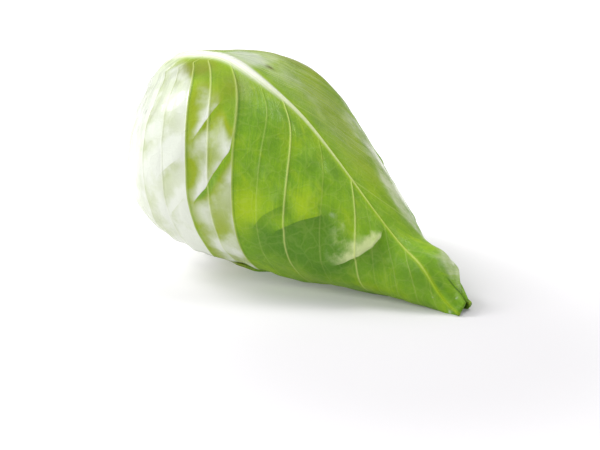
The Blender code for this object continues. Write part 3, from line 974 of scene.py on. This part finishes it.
def line_sides_group():
    """Two masks beside a line: one that rises up to it, one that fades past it."""
    nodes, given, out = new_group(
        "line_sides",
        [("Mark", "NodeSocketVector", (0.0, 0.0, 0.0)), ("Reach", "NodeSocketFloat", 0.005)],
        [("Before", "NodeSocketFloat"), ("Past", "NodeSocketFloat")],
    )
    parts = nodes.add("ShaderNodeSeparateXYZ")
    nodes.join(given["Mark"], parts.inputs[0])
    beyond, ends = parts.outputs["X"], parts.outputs["Y"]
    side = nodes.span(beyond, -0.0003, 0.0003)
    rise = nodes.span(beyond, nodes.math("MULTIPLY", given["Reach"], -1.0), 0.0)
    fall = nodes.span(beyond, 0.0, given["Reach"], 1.0, 0.0)
    before = nodes.math("MULTIPLY", rise, nodes.math("SUBTRACT", 1.0, side))
    nodes.join(nodes.math("MULTIPLY", before, ends), out["Before"])
    nodes.join(nodes.math("MULTIPLY", nodes.math("MULTIPLY", fall, side), ends), out["Past"])
    return nodes.tree


def paleness_with_pucker_light(nodes, line_group):
    """Blanching of the panels, with painted highlight before each pucker and painted shade past it."""
    pale = nodes.mask("pale")
    in_panels = nodes.span(nodes.mask("start"), PALE_END - 0.0004, PALE_END + 0.0004, 1.0, 0.0)
    panels = nodes.math("MULTIPLY", in_panels, pale)
    for number, (_, before, past, reach) in enumerate(PUCKERS):
        sides = nodes.line_sides(line_group, f"pucker_{number + 1}", reach)
        lit = nodes.math("MULTIPLY", sides["Before"], before)
        lit = nodes.math("SUBTRACT", lit, nodes.math("MULTIPLY", sides["Past"], past))
        pale = nodes.math("ADD", pale, nodes.math("MULTIPLY", lit, panels), clamp=True)
    return pale


def mottled_green(nodes, given, run, mottle):
    """Green skin with darker blotches and lighter places."""
    blotch = nodes.noise(nodes.stretched(run, BLOTCH_STRETCH), 1.0, 4.0, 0.6)
    skin = nodes.blend(nodes.span(mottle, 0.50, 0.82, 0.45, 0.0), given["Green"], given["Deep"])
    skin = nodes.blend(nodes.span(blotch, 0.30, 0.50, 0.36, 0.0), skin, given["Deep"])
    skin = nodes.blend(nodes.span(blotch, 0.52, 0.72, 0.0, 0.4), skin, given["Lime"])
    skin = nodes.blend(nodes.span(mottle, 0.68, 0.98, 0.0, 0.7), skin, given["Lime"])
    patchy = nodes.span(mottle, 0.45, 0.85, 0.55, 1.0)
    return nodes.blend(nodes.math("MULTIPLY", nodes.mask("lime"), patchy), skin, given["Lime"])


def folded_shade(nodes, line_group):
    """Share of dark green: its patches, with painted light before the first fold and painted shade past
    each fold.
    """
    first = nodes.line_sides(line_group, "first_fold", FIRST_FOLD_SHADE)
    side = nodes.line_sides(line_group, "side_fold", SIDE_FOLD_SHADE)
    lit = nodes.math("MULTIPLY", first["Before"], 0.8)
    deep_green_and_shade = nodes.math("SUBTRACT", nodes.mask("deep_green_and_shade"), lit, clamp=True)
    deep_green_and_shade = nodes.math("ADD", deep_green_and_shade, nodes.math("MULTIPLY", first["Past"], 0.7), clamp=True)
    deep_green_and_shade = nodes.math("ADD", deep_green_and_shade, nodes.math("MULTIPLY", side["Past"], 0.6), clamp=True)
    return nodes.math("MULTIPLY", deep_green_and_shade, 0.85)


def blanched_skin(nodes, given, skin, place, pale):
    """Skin that turns olive and lime, then pale, where the leaf is blanched."""
    shade = nodes.blend(0.45, given["Olive"], given["Lime"])
    cloud = nodes.span(nodes.noise(place, BLANCH_SCALE, 4.0), 0.38, 0.62, 0.15, -0.22)
    blanching = nodes.math("ADD", pale, cloud)
    blanched = nodes.blend(nodes.span(blanching, 0.15, 1.0), shade, given["Pale"])
    return nodes.blend(nodes.span(pale, 0.0, 0.30), skin, blanched)


def tinted_skin(nodes, given, skin, run, mottle):
    """Olive patches, one a painted shadow beside the midrib near its foot, and fine pale streaks right of
    the midrib.
    """
    patchy = nodes.span(mottle, 0.45, 0.85, 0.75, 1.0)
    skin = nodes.blend(nodes.math("MULTIPLY", nodes.mask("olive"), patchy), skin, given["Olive"])
    lines = nodes.noise(nodes.stretched(run, LINE_STRETCH), 1.0, 2.0, 0.6)
    streaks = nodes.span(lines, 0.50, 0.68, 0.0, 0.60)
    return nodes.blend(nodes.math("MULTIPLY", streaks, nodes.mask("lines")), skin, STREAK_COLOUR)


def skin_with_painted_highlights(nodes, given, skin, speckle):
    """Ragged pale wax with painted glints, and the painted highlight that ends at the second fold."""
    ragged = nodes.math("ADD", nodes.mask("glint_and_bloom"), nodes.math("MULTIPLY", speckle, 0.8))
    glint_and_bloom = nodes.math("MULTIPLY", nodes.span(ragged, 0.72, 1.25), 0.65)
    skin = nodes.blend(glint_and_bloom, skin, given["Pale"])
    # Painted highlight before the second fold
    beyond, ends = nodes.mark("painted_highlight")
    shape = nodes.math("ADD", beyond, nodes.span(speckle, 0.35, 0.65, -0.35, 0.35))
    before = nodes.span(beyond, -0.02, 0.02, 1.0, 0.0)
    painted_highlight = nodes.math("MULTIPLY", nodes.span(shape, -1.05, -0.10), before)
    painted_highlight = nodes.math("MULTIPLY", nodes.math("MULTIPLY", painted_highlight, ends), 0.80)
    return nodes.blend(painted_highlight, skin, PAINTED_HIGHLIGHT_COLOUR)


def rim_sheen(nodes, speckle):
    """Mask of the painted reflection on the rims."""
    level = nodes.math("ADD", speckle, nodes.math("MULTIPLY", nodes.mask("rim"), 0.22))
    return nodes.math("MULTIPLY", nodes.span(level, 0.42, 0.95), nodes.mask("rim"), clamp=True)


def groove_and_fold_shade(nodes, given, skin, speckle, pale):
    """Painted shade: broken dark lines in the grooves beside the veins, and the painted shadow line of the
    fold at the tip.
    """
    broken = nodes.span(speckle, 0.42, 0.62, 0.15, 0.65)
    dark = nodes.blend(pale, given["Deep"], given["Olive"])
    skin = nodes.blend(nodes.math("MULTIPLY", nodes.mask("groove"), broken), skin, dark)
    beyond, ends = nodes.mark("tip_fold")
    near = nodes.span(nodes.math("ABSOLUTE", beyond), 0.0001, 0.0006, 0.8, 0.0)
    return nodes.blend(nodes.math("MULTIPLY", near, ends), skin, FOLD_SHADOW)


def ribbed_skin(nodes, given, skin, pale, fibres):
    """Veins and midrib, which turn from white to green towards the tip."""
    vein_colour = nodes.blend(pale, given["Vein"], given["Rib"])
    skin = nodes.blend(nodes.math("MULTIPLY", nodes.mask("vein"), 0.9), skin, vein_colour)
    skin = nodes.blend(nodes.math("MULTIPLY", nodes.mask("rib_flank"), 0.7), skin, given["Lime"])
    along = nodes.span(nodes.mask("start"), 0.22, 0.75)
    rib_colour = nodes.blend(along, given["Rib"], RIB_TIP_COLOUR)
    rib_colour = nodes.blend(nodes.span(fibres, 0.35, 0.7, 0.0, 0.45), rib_colour, given["Vein"])
    return nodes.blend(nodes.mask("rib"), skin, rib_colour)


def leaf_skin_group(net_group, line_group):
    """Colour, roughness, wax and height of a leaf's skin, from the masks on its mesh."""
    nodes, given, out = new_group("leaf_skin", SKIN_COLOURS, (
        ("Color", "NodeSocketColor"), ("Roughness", "NodeSocketFloat"),
        ("Wax", "NodeSocketFloat"), ("Height", "NodeSocketFloat"),
    ))
    place = nodes.add("ShaderNodeTexCoord").outputs["Object"]
    run = nodes.add("ShaderNodeAttribute", attribute_name="leaf_run").outputs["Vector"]
    net = nodes.add("ShaderNodeGroup", node_tree=net_group).outputs
    pale = paleness_with_pucker_light(nodes, line_group)
    cloud = nodes.noise(place, CLOUD_SCALE, 5.0, 0.6)
    streak = nodes.noise(nodes.stretched(run, STREAK_STRETCH), 1.0, 3.0)
    mottle = nodes.math("ADD", cloud, nodes.math("MULTIPLY", streak, 0.4))
    fibres = nodes.noise(nodes.stretched(run, FIBRE_STRETCH), 1.0, 2.0)
    speckle = nodes.noise(place, SPECKLE_SCALE, 5.0, 0.62)
    fine_streak = nodes.noise(nodes.stretched(run, SPECKLE_STRETCH), 1.0, 2.0)
    streaked = nodes.math("ADD", speckle, nodes.span(fine_streak, 0.35, 0.65, -0.05, 0.05))
    painted_rim_sheen = rim_sheen(nodes, streaked)

    skin = mottled_green(nodes, given, run, mottle)
    skin = nodes.blend(folded_shade(nodes, line_group), skin, given["Deep"])
    skin = nodes.blend(nodes.math("MULTIPLY", net["Net"], NET_SHARE), skin, given["Vein"])
    skin = blanched_skin(nodes, given, skin, place, pale)
    skin = tinted_skin(nodes, given, skin, run, mottle)
    skin = skin_with_painted_highlights(nodes, given, skin, speckle)
    # Painted reflection on the rims
    skin = nodes.blend(nodes.math("MULTIPLY", painted_rim_sheen, 0.88), skin, RIM_SHEEN_COLOUR)
    skin = groove_and_fold_shade(nodes, given, skin, streaked, pale)
    skin = ribbed_skin(nodes, given, skin, pale, fibres)
    nodes.join(nodes.blend(nodes.mask("spot"), skin, SPOT_COLOUR), out["Color"])

    nodes.join(nodes.math("ADD", nodes.math("MULTIPLY", cloud, 0.25), 0.40), out["Roughness"])
    film = nodes.noise(nodes.stretched(run, FILM_STRETCH), 1.0, 4.0, 0.6)
    wax = nodes.math("MULTIPLY", nodes.span(film, 0.42, 0.56, 0.1, 1.0), nodes.mask("film"))
    nodes.join(nodes.math("MAXIMUM", wax, nodes.math("MULTIPLY", painted_rim_sheen, 0.8)), out["Wax"])
    grain = nodes.math("MULTIPLY", nodes.math("MULTIPLY", fibres, nodes.mask("rib")), 2.5)
    nodes.join(nodes.math("ADD", net["Height"], grain), out["Height"])
    return nodes.tree


def new_material(name):
    """Material with its node calls and its shader."""
    material = bpy.data.materials.new(name)
    material.use_nodes = True
    return material, Nodes(material.node_tree), material.node_tree.nodes["Principled BSDF"]


def leaf_material(name, skin_group, colours):
    material, nodes, shader = new_material(name)
    skin = nodes.add("ShaderNodeGroup", node_tree=skin_group)
    for label, value in colours.items():
        nodes.feed(skin.inputs[label], value)
    nodes.join(skin.outputs["Color"], shader.inputs["Base Color"])
    nodes.join(skin.outputs["Roughness"], shader.inputs["Roughness"])
    nodes.bump(skin.outputs["Height"], *LEAF_BUMP, shader)
    nodes.join(skin.outputs["Wax"], shader.inputs["Coat Weight"])
    shader.inputs["Coat Roughness"].default_value = 0.16
    shader.inputs["Specular IOR Level"].default_value = 0.15
    return material


def stem_material():
    material, nodes, shader = new_material("cut_stem")
    place = nodes.add("ShaderNodeTexCoord").outputs["Object"]
    cloud = nodes.noise(place, 160.0, 5.0)
    ring = nodes.mask("ring")
    side = nodes.blend(cloud, *STEM_SIDES)
    pith = nodes.blend(nodes.span(cloud, 0.35, 0.7), *STEM_PITH)
    bark = nodes.span(nodes.math("ADD", ring, nodes.math("MULTIPLY", cloud, 0.2)), 0.86, 1.02)
    face = nodes.blend(bark, pith, STEM_BARK)
    nodes.join(nodes.blend(nodes.mask("cut_face"), side, face), shader.inputs["Base Color"])
    nodes.bump(nodes.noise(place, 700.0, 3.0), *STEM_BUMP, shader)
    shader.inputs["Roughness"].default_value = 0.62
    return material


# Table, light and camera

def paper_material():
    """White paper with a painted glow that grows away from the head, leaving a painted shadow round it."""
    material, nodes, shader = new_material("white_paper")
    place = nodes.add("ShaderNodeTexCoord").outputs["Object"]
    away = nodes.add("ShaderNodeVectorMath", operation="DISTANCE")
    nodes.join(place, away.inputs[0])
    away.inputs[1].default_value = GLOW_MIDDLE
    glow = nodes.blend(nodes.span(away.outputs["Value"], *GLOW_REACH), *GLOW_COLOURS)
    nodes.join(glow, shader.inputs["Emission Color"])
    shader.inputs["Base Color"].default_value = TABLE_COLOUR
    shader.inputs["Emission Strength"].default_value = 1.0
    shader.inputs["Roughness"].default_value = 0.9
    shader.inputs["Specular IOR Level"].default_value = 0.1
    return material


def make_table():
    corners = [(-1, -1), (1, -1), (1, 1), (-1, 1)]
    mesh = bpy.data.meshes.new("white_table")
    mesh.from_pydata([(x * TABLE_REACH, y * TABLE_REACH, 0) for x, y in corners], [], [(0, 1, 2, 3)])
    mesh.materials.append(paper_material())
    table = bpy.data.objects.new("white_table", mesh)
    bpy.context.scene.collection.objects.link(table)


def view_axes():
    """Right, up and backward directions of the camera."""
    back = Vector((
        math.sin(CAMERA_AZIMUTH) * math.cos(CAMERA_ELEVATION),
        -math.cos(CAMERA_AZIMUTH) * math.cos(CAMERA_ELEVATION),
        math.sin(CAMERA_ELEVATION),
    ))
    right = Vector((math.cos(CAMERA_AZIMUTH), math.sin(CAMERA_AZIMUTH), 0.0))
    return right, back.cross(right), back


def add_softbox(name, right_way, toward, height, size, brightness):
    """Area light placed as seen by the camera, and aimed at the middle of the head."""
    right, _, back = view_axes()
    flat = Vector((back.x, back.y, 0.0)).normalized()
    middle = Vector((0.0, 0.0, 0.05))
    light = bpy.data.lights.new(name, "AREA")
    light.shape = "RECTANGLE"
    light.size, light.size_y = size
    light.energy = brightness * math.pi * size[0] * size[1]
    lamp = bpy.data.objects.new(name, light)
    lamp.location = middle + right * right_way + flat * toward + Vector((0.0, 0.0, height))
    lamp.rotation_mode = "QUATERNION"
    lamp.rotation_quaternion = (middle - lamp.location).to_track_quat("-Z", "Y")
    bpy.context.scene.collection.objects.link(lamp)


def make_light():
    world = bpy.data.worlds.new("white_room")
    world.use_nodes = True
    room = world.node_tree.nodes["Background"]
    room.inputs["Color"].default_value = ROOM_COLOUR
    room.inputs["Strength"].default_value = ROOM_STRENGTH
    bpy.context.scene.world = world
    for softbox in SOFTBOXES:
        add_softbox(*softbox)
    bpy.context.scene.view_settings.view_transform = "Standard"


def make_camera():
    right, up, back = view_axes()
    camera = bpy.data.cameras.new("camera")
    camera.lens = LENS
    camera.sensor_width = 36.0
    camera.sensor_fit = "HORIZONTAL"
    camera.clip_start = 0.01
    eye = bpy.data.objects.new("camera", camera)
    eye.location = AIM + back * CAMERA_DISTANCE
    eye.rotation_mode = "QUATERNION"
    eye.rotation_quaternion = (-back).to_track_quat("-Z", "Y")
    bpy.context.scene.collection.objects.link(eye)
    bpy.context.scene.camera = eye


def make_cabbage():
    skin = leaf_skin_group(leaf_network_group(), line_sides_group())
    outer = leaf_material("outer_leaf_skin", skin, {})
    middle = leaf_material("middle_leaf_skin", skin, MIDDLE_LEAF_COLOURS)
    inner = leaf_material("inner_leaf_skin", skin, INNER_LEAF_COLOURS)
    make_leaf(0, outer)
    make_leaf(1, outer)
    make_leaf(2, middle)
    make_leaf(3, inner)
    make_leaf(4, inner)
    make_heart(inner)
    make_stem(stem_material())


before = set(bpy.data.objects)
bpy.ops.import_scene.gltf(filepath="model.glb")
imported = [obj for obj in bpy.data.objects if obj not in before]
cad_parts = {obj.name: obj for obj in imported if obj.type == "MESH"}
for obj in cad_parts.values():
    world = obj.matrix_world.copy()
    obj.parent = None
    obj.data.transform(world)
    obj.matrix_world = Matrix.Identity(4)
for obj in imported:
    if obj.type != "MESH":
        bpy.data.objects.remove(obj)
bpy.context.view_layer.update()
make_cabbage()
make_table()
make_light()
make_camera()
